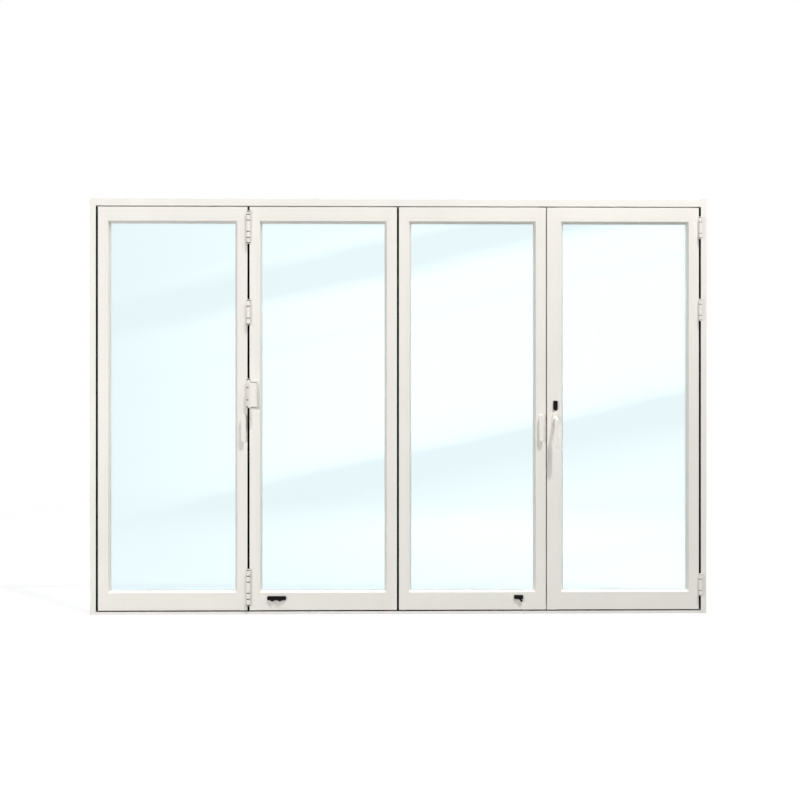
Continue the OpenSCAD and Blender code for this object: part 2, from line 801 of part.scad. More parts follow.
// The second leaf's catch: a plate with two round knobs that hang below its edge
module double_catch() {
    drop = 5;
    proud = 4;
    round_plate(catch_w, catch_h, catch_t, catch_corner);
    for (x = [0.26, 0.66]) translate([catch_w * x, 0, knob_r - drop]) rotate([90, 0, 0])
        cylinder(r = knob_r, h = catch_t + proud);
}

// The third leaf's catch: a plate with a tongue that hangs askew from its middle
module tongue_catch() {
    tongue_w = 10;
    proud = 3;
    round_plate(latch_w, latch_h, catch_t, latch_corner);
    translate([latch_w / 2, 0, latch_h / 2]) rotate([0, -tongue_tilt, 0])
        translate([0, 0, (tongue_w - tongue_len) / 2]) tablet(tongue_w, tongue_len, catch_t + proud);
}

module bottom_catches() {
    x3 = leaf_x[2] + leaf_w - latch_in - latch_w;
    color(black) {
        translate([leaf_x[1] + catch_in, room_y, leaf_z0 + catch_low]) double_catch();
        translate([x3, room_y, leaf_z0 + latch_low]) tongue_catch();
    }
}

head();
jamb(-1);  // left_jamb
jamb(1);  // right_jamb
threshold();
seals();
for (i = [0:3]) {
    left_name = i == 3 ? "_lock_stile" : "_left_stile";
    right_name = i == 3 ? "_hinge_stile" : "_right_stile";
    left_stile(i);
    right_stile(i);
    top_rail(i);
    bottom_rail(i);
    beads(i);
    glass(i);
}
folding_spacers();
spacers(3);  // leaf4_spacers
leaf4_seals();
inner_fold_hinges();
pull_hinge();
outer_fold_hinges();
outer_jamb_hinges();
door_hinge_frame_halves();
door_hinge_leaf_halves();
lever_roses();
lever();
lock_covers();
flat_handle_bases();
leaf1_flat_handle();
leaf3_flat_handle();
bottom_catches();
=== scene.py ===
"""Finishes and small fittings for a bifold glass patio door, and the studio that it stands in."""

import math

import bmesh
import bpy
from bpy.props import FloatProperty, FloatVectorProperty, IntProperty, PointerProperty
from mathutils import Matrix, Vector


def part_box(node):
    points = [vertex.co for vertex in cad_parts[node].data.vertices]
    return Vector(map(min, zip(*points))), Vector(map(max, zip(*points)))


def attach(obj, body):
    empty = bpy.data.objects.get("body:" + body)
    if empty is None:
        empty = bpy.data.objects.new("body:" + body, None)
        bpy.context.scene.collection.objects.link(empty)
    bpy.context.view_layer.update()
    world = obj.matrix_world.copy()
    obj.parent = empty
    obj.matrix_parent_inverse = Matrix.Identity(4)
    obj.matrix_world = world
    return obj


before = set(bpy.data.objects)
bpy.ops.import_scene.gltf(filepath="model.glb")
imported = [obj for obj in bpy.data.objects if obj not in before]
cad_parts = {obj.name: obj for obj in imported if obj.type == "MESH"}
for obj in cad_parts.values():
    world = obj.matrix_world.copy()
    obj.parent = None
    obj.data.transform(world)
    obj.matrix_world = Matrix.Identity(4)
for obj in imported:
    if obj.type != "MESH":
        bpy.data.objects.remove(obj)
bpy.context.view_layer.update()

bl_info = {
    "name": "Bifold Patio Door Finisher",
    "version": (1, 0, 0),
    "blender": (4, 5, 0),
    "location": "View3D > Sidebar > Patio Door",
    "description": "Paints, glazes and fits out a bifold glass patio door, and lights it",
    "category": "Add Mesh",
}

FIXED_BODY = "frame_and_folding_leaves"
SWING_BODY = "swing_leaf"
LEAVES = (1, 2, 3, 4)
MM = 0.001
WELD = 0.001 * MM
SHARP_ANGLE = math.radians(35)

# Nearly all values of a noise lie between these two
NOISE_RANGE = (0.3, 0.7)

# A screw head's outline from the floor of its socket, as shares of its radius and of its rise
SCREW_OUTLINE = ((0, 0.1), (0.4, 0.1), (0.4, 1), (0.75, 0.85), (1, 0.1), (1, -0.5), (0, -0.5))
SCREW_RISE = 0.35

# Soft bands that the glass mirrors: height across the bands on the door, in metres, and brightness
REFLECTION_BANDS = (
    (-0.40, 0.70), (-0.01, 0.62), (0.03, 0.42), (0.07, 0.58), (0.40, 0.60), (0.62, 0.12),
    (0.66, 0.03), (0.77, 0.03), (0.82, 0.75), (0.95, 1.0), (1.44, 1.0), (1.475, 0.8),
    (1.51, 1.0), (1.66, 0.95), (1.74, 0.08), (1.86, 0.05), (1.93, 0.7), (1.97, 0.5), (2.4, 0.6),
)
BAND_SLOPE = 0.225

# From CLEAR_AT to FADED_AT along the door the bands fade to a share of their strength. Below
# FADE_HEIGHT both places lie further right
FADED_AT, CLEAR_AT, FADED_SHARE = -1.7, 0.1, 0.1
FADE_HEIGHT, FADE_LEAN = 0.8, 1.5

# Each lamp's power setting, width and place, in metres
LAMPS = {
    "key_lamp": ("key_power", 0.5, (3.9, -6.1, 16.4)),
    "left_lamp": ("left_power", 2.0, (-4.0, -4.5, 1.4)),
    "top_lamp": ("top_power", 1.2, (1.8, -1.6, 3.6)),
    "garden_lamp": ("back_power", 3.0, (1.2, 5.0, 4.5)),
}
LAMP_AIM = (0, 0, 1.05)


def srgb(red, green, blue):
    """A display colour with values up to 255 as the linear colour that a shader takes."""
    shares = (value / 255 for value in (red, green, blue))
    return tuple(s / 12.92 if s <= 0.04045 else ((s + 0.055) / 1.055) ** 2.4 for s in shares)


def colour_setting(name, description, default):
    return FloatVectorProperty(
        name=name, description=description, default=default, subtype="COLOR", min=0, max=1
    )


def length_setting(name, description, default):
    return FloatProperty(
        name=name, description=description, default=default, min=0, subtype="DISTANCE", unit="LENGTH"
    )


def share_setting(name, description, default):
    return FloatProperty(
        name=name, description=description, default=default, min=0, max=1, subtype="FACTOR"
    )


def place_setting(name, description, default):
    return FloatProperty(name=name, description=description, default=default, unit="LENGTH")


def power_setting(name, description, default):
    return FloatProperty(name=name, description=description, default=default, min=0, unit="POWER")


class PaintSettings(bpy.types.PropertyGroup):
    """Colours and textures of the coated aluminium and the fittings."""

    frame_colour: colour_setting(
        "Frame", "Powder coat of the head, jambs and threshold", srgb(240, 236, 230)
    )
    leaf_colour: colour_setting("Leaves", "Powder coat of the leaves", srgb(239, 235, 228))
    hardware_colour: colour_setting(
        "Hinges", "Coating of the hinges, roses and flat handles", srgb(238, 235, 228)
    )
    lever_colour: colour_setting("Lever", "Enamel of the lever", srgb(239, 236, 229))
    black_colour: colour_setting("Black metal", "Coating of the lock covers and catches", srgb(6, 5, 5))
    # This colour is also used for the dark bands at the pull grip's ends, which are painted shade
    break_colour: colour_setting(
        "Insulating strips", "Plastic between the two shells, and the washers", srgb(24, 24, 25)
    )
    coat_roughness: share_setting("Coat roughness", "Roughness of the powder coat", 0.38)
    peel_depth: length_setting("Orange peel", "Depth of the powder coat's fine waves", 0.00024)
    break_depth: length_setting("Strip depth", "Depth of the insulating strips that shows", 0.0136)
    frame_break_middle: place_setting("Frame strip", "Middle of the frame's insulating strips", 0.0)
    leaf_break_middle: place_setting("Leaf strip", "Middle of the leaves' insulating strips", -0.007)


class GlassSettings(bpy.types.PropertyGroup):
    """The insulating glass and what seals it."""

    tint: colour_setting("Tint", "Colour that one pane lets through", (0.9025, 0.973, 0.985))
    gasket_colour: colour_setting(
        "Gasket", "Rubber between the bead and the glass", srgb(212, 212, 206)
    )
    gasket_width: length_setting("Gasket width", "Width of the gasket beside the bead", 0.0025)
    gasket_height: length_setting("Gasket height", "Height of the gasket over the glass", 0.002)
    spacer_colour: colour_setting("Spacer", "Metal bar between the panes", srgb(150, 151, 152))
    rubber_colour: colour_setting("Seals", "Rubber in the gaps between the leaves", srgb(3, 3, 3))
    # The step seal's grey-brown is painted shade: real rubber given the tone of shaded cream in the gaps
    # beside the swing leaf
    step_shade_colour: colour_setting("Step seal", "Rubber behind the swing leaf's step", srgb(158, 150, 137))
    lip_set: length_setting("Lip set-back", "How far the soft lips lie behind the leaves' faces", 0.0003)
    lip_depth: length_setting("Lip depth", "Depth of the soft lips in front of the gap seals", 0.0095)
    lip_over: length_setting("Lip overlap", "How far a lip folds over the edge beside it", 0.0006)
    lip_play: length_setting("Lip clearance", "Space between two lips that meet", 0.0002)


class FittingSettings(bpy.types.PropertyGroup):
    """Small parts on the hinges, the handles and the lock."""

    barrel_radius: length_setting("Barrel radius", "Radius of a hinge barrel", 0.0085)
    washer_gap: length_setting("Washer gap", "Space between two knuckles", 0.002)
    washer_lip: length_setting("Washer lip", "How far a washer stands out of its barrel", 0.0004)
    knuckle_chamfer: length_setting("Knuckle chamfer", "Chamfer round the ends of a knuckle", 0.0008)
    cap_height: length_setting("Cap height", "Height of the caps on the hinge pins", 0.003)
    plate_reach: length_setting("Plate reach", "Reach of the pull hinge's plate from its axis", 0.057)
    plate_thickness: length_setting("Plate thickness", "Thickness of the pull hinge's plate", 0.004)
    # Height of the dark bands at the grip's ends, which are painted shade
    shade_strip_height: length_setting("Grip strip", "Height of the strips at the pull grip's ends", 0.0025)
    screw_radius: length_setting("Screw radius", "Radius of a screw's head", 0.0032)
    faceplate_length: length_setting("Faceplate", "Length of the lock's faceplate", 0.235)
    faceplate_width: length_setting("Faceplate width", "Width of the lock's faceplate", 0.022)
    key_radius: length_setting("Key radius", "Radius of the key cylinder's face", 0.0052)
    segments: IntProperty(name="Segments", description="Faces round a turned part", default=40, min=12)


class StageSettings(bpy.types.PropertyGroup):
    """Camera, lights and floor."""

    camera_distance: length_setting("Distance", "Distance from the camera to the leaves' faces", 5.8)
    camera_height: length_setting("Height", "Height of the camera", 1.083)
    camera_side: place_setting("Sideways", "Place of the camera along the door", -0.083)
    aim_side: place_setting("Aim", "Place on the door that the camera looks at", 0.0024)
    pixel_size: length_setting("Pixel size", "Width on the door that one picture pixel covers", 0.00506)
    floor_size: length_setting("Floor", "Width of the floor", 60.0)
    floor_near: length_setting("Shadow reach", "Distance at which the floor starts to turn white", 3.0)
    floor_far: length_setting("White floor", "Distance from which the floor is plain white", 8.0)
    floor_grey: share_setting("Floor colour", "Grey of the floor that takes the shadow", 0.15)
    floor_glow: share_setting("Floor glow", "Light that keeps the floor near white", 0.84)
    floor_bounce: share_setting("Floor bounce", "Grey of the floor as it lights the door", 0.3)
    ambient: share_setting("Ambient light", "Light that reaches the door from all sides", 0.2)
    key_power: power_setting("Key lamp", "Lamp high on the right", 2150)
    left_power: power_setting("Left lamp", "Lamp on the left", 146)
    top_power: power_setting("Top lamp", "Soft lamp over the door", 24)
    back_power: power_setting("Garden lamp", "Lamp behind the door", 380)
    dim_mirror: share_setting("Dim reflection", "What the glass mirrors between the bands", 0.85)
    bright_mirror: FloatProperty(
        name="Bright reflection", description="Brightness of the soft bands in the glass", default=2.25
    )


class Shader:
    """A material or world whose nodes are added one by one."""

    def __init__(self, owner):
        owner.use_nodes = True
        self.tree = owner.node_tree
        self.tree.nodes.clear()
        self.column = 0

    def add(self, kind, **values):
        node = self.tree.nodes.new(kind)
        column_width = 180
        self.column += 1
        node.location = (column_width * self.column, 0)
        for name, value in values.items():
            setattr(node, name, value)
        return node

    def link(self, source, target):
        self.tree.links.new(source, target)

    def feed(self, socket, value):
        """Puts a number, a colour or another node's socket into a socket."""
        if isinstance(value, bpy.types.NodeSocket):
            self.link(value, socket)
        elif hasattr(value, "__len__") and len(value) == 3 and socket.type == "RGBA":
            socket.default_value = (*value, 1)
        else:
            socket.default_value = value

    def math(self, operation, *values, clamp=False):
        node = self.add("ShaderNodeMath", operation=operation, use_clamp=clamp)
        for socket, value in zip(node.inputs, values):
            self.feed(socket, value)
        return node.outputs[0]

    def object_point(self):
        return self.add("ShaderNodeTexCoord").outputs["Object"]

    def noise(self, point, scale, detail, stretch=None):
        """Noise with about scale features in a metre, stretched along the axes where asked."""
        if stretch:
            mapping = self.add("ShaderNodeMapping")
            self.link(point, mapping.inputs["Vector"])
            mapping.inputs["Scale"].default_value = stretch
            point = mapping.outputs["Vector"]
        node = self.add("ShaderNodeTexNoise")
        self.link(point, node.inputs["Vector"])
        node.inputs["Scale"].default_value = scale
        node.inputs["Detail"].default_value = detail
        return node.outputs["Fac"]

    def spread(self, value, low, high, out_low, out_high, smooth=False):
        """Maps low..high to out_low..out_high and stops there."""
        node = self.add("ShaderNodeMapRange", interpolation_type="SMOOTHSTEP" if smooth else "LINEAR")
        names = ("Value", "From Min", "From Max", "To Min", "To Max")
        for name, number in zip(names, (value, low, high, out_low, out_high)):
            self.feed(node.inputs[name], number)
        return node.outputs["Result"]

    def blend(self, share, first, second):
        """A colour between two colours. The Mix node keeps its colour sockets after the others."""
        node = self.add("ShaderNodeMix", data_type="RGBA")
        for index, value in ((0, share), (6, first), (7, second)):
            self.feed(node.inputs[index], value)
        return node.outputs[2]

    def bump(self, height, distance, strength):
        node = self.add("ShaderNodeBump")
        self.link(height, node.inputs["Height"])
        node.inputs["Distance"].default_value = distance
        node.inputs["Strength"].default_value = strength
        return node.outputs["Normal"]

    def seen(self, path):
        """1 for what the camera sees straight or through glass, and 0 for the rest."""
        rays = (path.outputs["Is Camera Ray"], path.outputs["Is Transmission Ray"])
        return self.math("ADD", *rays, clamp=True)

    def mirrored(self, path):
        """1 for what a surface mirrors, and 0 for the rest."""
        return self.math("GREATER_THAN", path.outputs["Glossy Depth"], 0.5)

    def surface(self, **inputs):
        """A Principled shader with the given inputs."""
        node = self.add("ShaderNodeBsdfPrincipled")
        for name, value in inputs.items():
            self.feed(node.inputs[name.replace("_", " ")], value)
        return node.outputs["BSDF"]

    def matt(self, grey):
        node = self.add("ShaderNodeBsdfDiffuse")
        node.inputs["Color"].default_value = (grey, grey, grey, 1)
        return node.outputs[0]

    def glow(self, strength):
        node = self.add("ShaderNodeEmission")
        node.inputs["Strength"].default_value = strength
        return node.outputs[0]

    def mix(self, share, first, second):
        """A shader between two shaders."""
        node = self.add("ShaderNodeMixShader")
        self.feed(node.inputs[0], share)
        self.link(first, node.inputs[1])
        self.link(second, node.inputs[2])
        return node.outputs[0]

    def finish(self, shader, kind="ShaderNodeOutputMaterial"):
        self.link(shader, self.add(kind).inputs["Surface"])


def material(name):
    made = bpy.data.materials.new(name)
    return made, Shader(made)


def scaled(colour, factor):
    return tuple(min(1.0, channel * factor) for channel in colour)


def powder_coat(name, colour, break_middle):
    """Satin powder coat with a fine orange peel, and dark insulating strips round break_middle."""
    paint = bpy.context.scene.door_paint
    darker, lighter, rough_play, plastic_rougher = 0.975, 1.02, 0.05, 0.25
    cloud_share, streak_share, grain_share = 0.7, 0.3, 0.25
    made, shader = material(name)
    point = shader.object_point()
    cloud = shader.noise(point, scale=2.5, detail=2)
    streak = shader.noise(point, scale=14, detail=4, stretch=(1, 1, 0.08))
    tone = shader.math(
        "ADD", shader.math("MULTIPLY", cloud, cloud_share), shader.math("MULTIPLY", streak, streak_share)
    )
    tone = shader.spread(tone, low=0.35, high=0.65, out_low=0, out_high=1)
    coat = shader.blend(tone, scaled(colour, darker), scaled(colour, lighter))
    smooth, rough_end = paint.coat_roughness - rough_play, paint.coat_roughness + rough_play
    rough = shader.spread(shader.noise(point, scale=60, detail=3), *NOISE_RANGE, smooth, rough_end)
    axes = shader.add("ShaderNodeSeparateXYZ")
    shader.link(point, axes.inputs[0])
    off = shader.math("ABSOLUTE", shader.math("SUBTRACT", axes.outputs["Y"], break_middle))
    inside = shader.math("LESS_THAN", off, paint.break_depth / 2)
    coat = shader.blend(inside, coat, paint.break_colour)
    rough = shader.math("ADD", rough, shader.math("MULTIPLY", inside, plastic_rougher), clamp=True)
    peel = shader.noise(point, scale=420, detail=2)
    grain = shader.math("MULTIPLY", shader.noise(point, scale=2400, detail=1), grain_share)
    relief = shader.bump(shader.math("ADD", peel, grain), paint.peel_depth, strength=0.5)
    shader.finish(shader.surface(Base_Color=coat, Roughness=rough, Normal=relief))
    return made


def enamel(name, colour, roughness):
    """Smooth glossy coating with faint handling marks, for cast handles and hinge barrels."""
    darker, lighter, smoother, rougher = 0.97, 1.02, 0.06, 0.1
    made, shader = material(name)
    point = shader.object_point()
    cloud = shader.noise(point, scale=30, detail=3)
    coat = shader.blend(cloud, scaled(colour, darker), scaled(colour, lighter))
    marks = shader.noise(point, scale=220, detail=5, stretch=(1, 1, 0.3))
    rough = shader.spread(
        marks, low=0.35, high=0.7, out_low=roughness - smoother, out_high=roughness + rougher
    )
    wave = shader.noise(point, scale=160, detail=2)
    relief = shader.bump(wave, 0.25 * MM, strength=0.35)
    shader.finish(shader.surface(Base_Color=coat, Roughness=rough, Normal=relief, Coat_Weight=0.15))
    return made


def black_metal(name, colour):
    """Black coating with a fine texture that is rubbed a little lighter in places."""
    lighter, smooth, rough_end = 2.0, 0.36, 0.54
    made, shader = material(name)
    point = shader.object_point()
    spots = shader.noise(point, scale=90, detail=6)
    rubbed = shader.spread(spots, low=0.55, high=0.8, out_low=0, out_high=1)
    coat = shader.blend(rubbed, colour, scaled(colour, lighter))
    rough = shader.spread(shader.noise(point, scale=300, detail=3), *NOISE_RANGE, smooth, rough_end)
    relief = shader.bump(shader.noise(point, scale=1500, detail=2), 0.2 * MM, strength=0.5)
    shader.finish(
        shader.surface(Base_Color=coat, Roughness=rough, Specular_IOR_Level=0.12, Normal=relief)
    )
    return made


def rubber(name, colour):
    """Matt rubber with a dusty bloom along its length."""
    lighter, smooth, rough_end = 1.3, 0.7, 0.9
    made, shader = material(name)
    point = shader.object_point()
    dust = shader.noise(point, scale=25, detail=5, stretch=(1, 1, 0.2))
    bloom = shader.spread(dust, low=0.45, high=0.8, out_low=0, out_high=1)
    coat = shader.blend(bloom, colour, scaled(colour, lighter))
    rough = shader.spread(shader.noise(point, scale=200, detail=2), *NOISE_RANGE, smooth, rough_end)
    relief = shader.bump(bloom, 0.3 * MM, strength=0.3)
    shader.finish(
        shader.surface(Base_Color=coat, Roughness=rough, Specular_IOR_Level=0.04, Normal=relief)
    )
    return made


def bar_metal(name, colour):
    """Dull rolled aluminium with fine lines along it."""
    darker, lighter, smooth, rough_end = 0.85, 1.1, 0.38, 0.5
    made, shader = material(name)
    point = shader.object_point()
    lines = shader.noise(point, scale=700, detail=3, stretch=(1, 1, 0.02))
    coat = shader.blend(lines, scaled(colour, darker), scaled(colour, lighter))
    rough = shader.spread(lines, *NOISE_RANGE, smooth, rough_end)
    relief = shader.bump(lines, 0.1 * MM, strength=0.4)
    shader.finish(shader.surface(Base_Color=coat, Roughness=rough, Metallic=0.85, Normal=relief))
    return made


def pane_glass(name, tint):
    """Clear float glass with slow roller waves. Lamps shine through it."""
    made, shader = material(name)
    point = shader.object_point()
    waves = shader.noise(point, scale=1.6, detail=1, stretch=(0.6, 1, 1.8))
    relief = shader.bump(waves, 2 * MM, strength=0.25)
    clear = shader.surface(
        Base_Color=tint, Roughness=0.0, IOR=1.5, Transmission_Weight=1.0, Normal=relief
    )
    passing = shader.add("ShaderNodeBsdfTransparent")
    passing.inputs["Color"].default_value = (*tint, 1)
    shadow = shader.add("ShaderNodeLightPath").outputs["Is Shadow Ray"]
    shader.finish(shader.mix(shadow, clear, passing.outputs[0]))
    return made


def paint_nodes(names, finish):
    """Gives CAD nodes a material."""
    for name in names:
        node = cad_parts[name]
        if node.material_slots:
            for held in node.material_slots:
                held.material = finish
        else:
            node.data.materials.append(finish)


def piece_from(name, bm, finish, body):
    """Turns a bmesh in metres into a piece that rides on a body."""
    bmesh.ops.remove_doubles(bm, verts=bm.verts, dist=WELD)
    bmesh.ops.recalc_face_normals(bm, faces=bm.faces)
    mesh = bpy.data.meshes.new(name)
    bm.to_mesh(mesh)
    bm.free()
    for polygon in mesh.polygons:
        polygon.use_smooth = True
    mesh.set_sharp_from_angle(angle=SHARP_ANGLE)
    mesh.materials.append(finish)
    piece = bpy.data.objects.new(name, mesh)
    bpy.context.scene.collection.objects.link(piece)
    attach(piece, body)
    return piece


def turned(bm, profile, centre, axis, segments):
    """Spins a profile of (radius, height) points round an axis through centre."""
    axis = Vector(axis).normalized()
    side = axis.orthogonal().normalized()
    centre = Vector(centre)
    verts = [bm.verts.new(centre + side * radius + axis * height) for radius, height in profile]
    edges = [bm.edges.new(pair) for pair in zip(verts, verts[1:])]
    bmesh.ops.spin(
        bm, geom=verts + edges, cent=centre, axis=axis, angle=math.tau, steps=segments, use_merge=True
    )


def bevelled_block(bm, low, high, radius):
    """A box between two corners with rounded edges."""
    low, high = Vector(low), Vector(high)
    size = high - low
    place = Matrix.Translation((low + high) / 2) @ Matrix.Diagonal((*size, 1))
    made = bmesh.ops.create_cube(bm, size=1, matrix=place)
    edges = {edge for vert in made["verts"] for edge in vert.link_edges}
    bmesh.ops.bevel(
        bm, geom=list(edges), offset=radius, segments=3, profile=0.5, affect="EDGES", material=-1
    )


def screw(bm, place, axis, radius):
    """A domed screw head with a round driver socket, standing on place."""
    rise = SCREW_RISE * radius
    profile = [(across * radius, up * rise) for across, up in SCREW_OUTLINE]
    turned(bm, profile, place, axis, segments=24)


def sleeve(node, low, high, proud):
    """A thin skin over the part of a CAD node that lies between two corners."""
    bm = bmesh.new()
    bm.from_mesh(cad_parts[node].data)
    bmesh.ops.remove_doubles(bm, verts=bm.verts, dist=WELD)
    for axis in range(3):
        for corner, sign in ((low, -1), (high, 1)):
            normal = Vector((0, 0, 0))
            normal[axis] = sign
            cut = bmesh.ops.bisect_plane(
                bm, geom=[*bm.verts, *bm.edges, *bm.faces], plane_co=corner, plane_no=normal,
                clear_outer=True,
            )["geom_cut"]
            rim = [item for item in cut if isinstance(item, bmesh.types.BMEdge)]
            bmesh.ops.holes_fill(bm, edges=rim)
    bmesh.ops.recalc_face_normals(bm, faces=bm.faces)
    bm.normal_update()
    for vert in bm.verts:
        vert.co += vert.normal * proud
    return bm


def heights(*nodes):
    """Every height at which the nodes have corners, to a hundredth of a millimetre, lowest first."""
    found = {round(vert.co.z, 5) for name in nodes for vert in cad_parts[name].data.vertices}
    return sorted(found)


def knuckle_gaps(fittings, *nodes):
    """The (low, high) spaces between the knuckles of the hinges in these nodes."""
    levels = heights(*nodes)
    tolerance = 0.2 * MM
    return [
        (low, high) for low, high in zip(levels, levels[1:])
        if abs(high - low - fittings.washer_gap) < tolerance
    ]


def hinge_spans(*nodes):
    """The (low, high) ends of each hinge in these nodes."""
    levels = heights(*nodes)
    least_space = 150 * MM
    breaks = [k for k in range(1, len(levels)) if levels[k] - levels[k - 1] > least_space]
    starts = [0, *breaks]
    ends = [*breaks, len(levels)]
    return [(levels[start], levels[end - 1]) for start, end in zip(starts, ends)]


def hinge_axes(fittings):
    """Each group of hinges as its nodes and the x and y of its axis."""
    radius = fittings.barrel_radius
    inner_low, inner_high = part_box("inner_fold_hinges")
    outer_low, outer_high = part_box("outer_fold_hinges")
    jamb_low, jamb_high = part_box("outer_jamb_hinges")
    door_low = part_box("door_hinge_leaf_halves")[0]
    fold_x = (inner_low.x + inner_high.x) / 2
    return {
        "fold": (("inner_fold_hinges",), fold_x, inner_low.y + radius),
        "pull": (("pull_hinge",), fold_x, inner_low.y + radius),
        "outer_fold": (("outer_fold_hinges",), (outer_low.x + outer_high.x) / 2, outer_high.y - radius),
        "outer_jamb": (("outer_jamb_hinges",), (jamb_low.x + jamb_high.x) / 2, jamb_high.y - radius),
        "door": (
            ("door_hinge_frame_halves", "door_hinge_leaf_halves"),
            door_low.x + radius, door_low.y + radius,
        ),
    }


class DOOR_OT_paint_frame(bpy.types.Operator):
    """Powder coat the head, the jambs and the threshold"""

    bl_idname = "patio_door.paint_frame"
    bl_label = "Paint Frame"

    def execute(self, context):
        paint = context.scene.door_paint
        coat = powder_coat("frame_powder_coat", paint.frame_colour, paint.frame_break_middle)
        paint_nodes(("head", "left_jamb", "right_jamb", "threshold"), coat)
        return {"FINISHED"}


class DOOR_OT_paint_leaves(bpy.types.Operator):
    """Powder coat the stiles, rails and glazing beads"""

    bl_idname = "patio_door.paint_leaves"
    bl_label = "Paint Leaves"

    def execute(self, context):
        paint = context.scene.door_paint
        coat = powder_coat("leaf_powder_coat", paint.leaf_colour, paint.leaf_break_middle)
        for leaf in LEAVES:
            stiles = ("lock_stile", "hinge_stile") if leaf == 4 else ("left_stile", "right_stile")
            parts = (*stiles, "top_rail", "bottom_rail", "beads")
            paint_nodes([f"leaf{leaf}_{part}" for part in parts], coat)
        return {"FINISHED"}


class DOOR_OT_glaze(bpy.types.Operator):
    """Make the panes clear and fit the gaskets round them"""

    bl_idname = "patio_door.glaze"
    bl_label = "Glaze Leaves"

    def execute(self, context):
        glass = context.scene.door_glass
        paint_nodes([f"leaf{leaf}_glass" for leaf in LEAVES], pane_glass("float_glass", glass.tint))
        metal = bar_metal("spacer_bar", glass.spacer_colour)
        paint_nodes(("folding_spacers", "leaf4_spacers"), metal)
        gasket = rubber("glazing_rubber", glass.gasket_colour)
        for leaf in LEAVES:
            body = SWING_BODY if leaf == 4 else FIXED_BODY
            self.fit_gasket(leaf, glass, gasket, body)
        return {"FINISHED"}

    def fit_gasket(self, leaf, glass, gasket, body):
        """A thin rubber frame on the room side of the glass, beside the beads' tips."""
        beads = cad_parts[f"leaf{leaf}_beads"].data.vertices
        middle = sum(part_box(f"leaf{leaf}_beads"), Vector()) / 2
        play, radius = 0.1 * MM, 0.4 * MM
        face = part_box(f"leaf{leaf}_glass")[0].y - play
        left = max(vert.co.x for vert in beads if vert.co.x < middle.x)
        right = min(vert.co.x for vert in beads if vert.co.x > middle.x)
        low = max(vert.co.z for vert in beads if vert.co.z < middle.z)
        high = min(vert.co.z for vert in beads if vert.co.z > middle.z)
        width, proud = glass.gasket_width, glass.gasket_height
        bm = bmesh.new()
        for z in (low, high - width):
            bevelled_block(bm, (left, face - proud, z), (right, face, z + width), radius)
        for x in (left, right - width):
            bevelled_block(bm, (x, face - proud, low + width), (x + width, face, high - width), radius)
        piece_from(f"leaf{leaf}_gasket", bm, gasket, body)


class DOOR_OT_fit_seals(bpy.types.Operator):
    """Make the gap seals rubber and fit the soft lips that close the gaps by the leaves' faces"""

    bl_idname = "patio_door.fit_seals"
    bl_label = "Fit Seals"

    def execute(self, context):
        glass = context.scene.door_glass
        finish = rubber("seal_rubber", glass.rubber_colour)
        paint_nodes(("seals",), finish)
        # Rubber seals on the swing leaf, coloured grey-brown as painted shade in the gaps beside it
        paint_nodes(("leaf4_seals",), rubber("step_rubber", glass.step_shade_colour))
        inner_hinges = hinge_spans("inner_fold_hinges", "pull_hinge")
        door_hinges = hinge_spans("door_hinge_frame_halves", "door_hinge_leaf_halves")
        gaps = (
            ("left_jamb", "leaf1_left_stile", []),
            ("leaf1_right_stile", "leaf2_left_stile", inner_hinges),
            ("leaf2_right_stile", "leaf3_left_stile", []),
            ("leaf4_hinge_stile", "right_jamb", door_hinges),
        )
        fixed, swinging = bmesh.new(), bmesh.new()
        for left, right, hinges in gaps:
            start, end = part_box(left)[1].x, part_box(right)[0].x
            middle = (start + end) / 2
            left_half = swinging if left == "leaf4_hinge_stile" else fixed
            self.add_lip(left_half, start - glass.lip_over, middle - glass.lip_play, hinges, glass)
            self.add_lip(fixed, middle + glass.lip_play, end + glass.lip_over, hinges, glass)
        piece_from("gap_lips", fixed, finish, FIXED_BODY)
        piece_from("leaf4_gap_lip", swinging, finish, SWING_BODY)
        return {"FINISHED"}

    def add_lip(self, bm, left, right, hinges, glass):
        """An upright rubber lip over the leaf's height, left out where hinges pass through the gap."""
        low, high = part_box("leaf1_left_stile")
        front, radius = low.y + glass.lip_set, 0.8 * MM
        ends = [low.z, *(height for span in hinges for height in span), high.z]
        for bottom, top in zip(ends[::2], ends[1::2]):
            bevelled_block(bm, (left, front, bottom), (right, front + glass.lip_depth, top), radius)


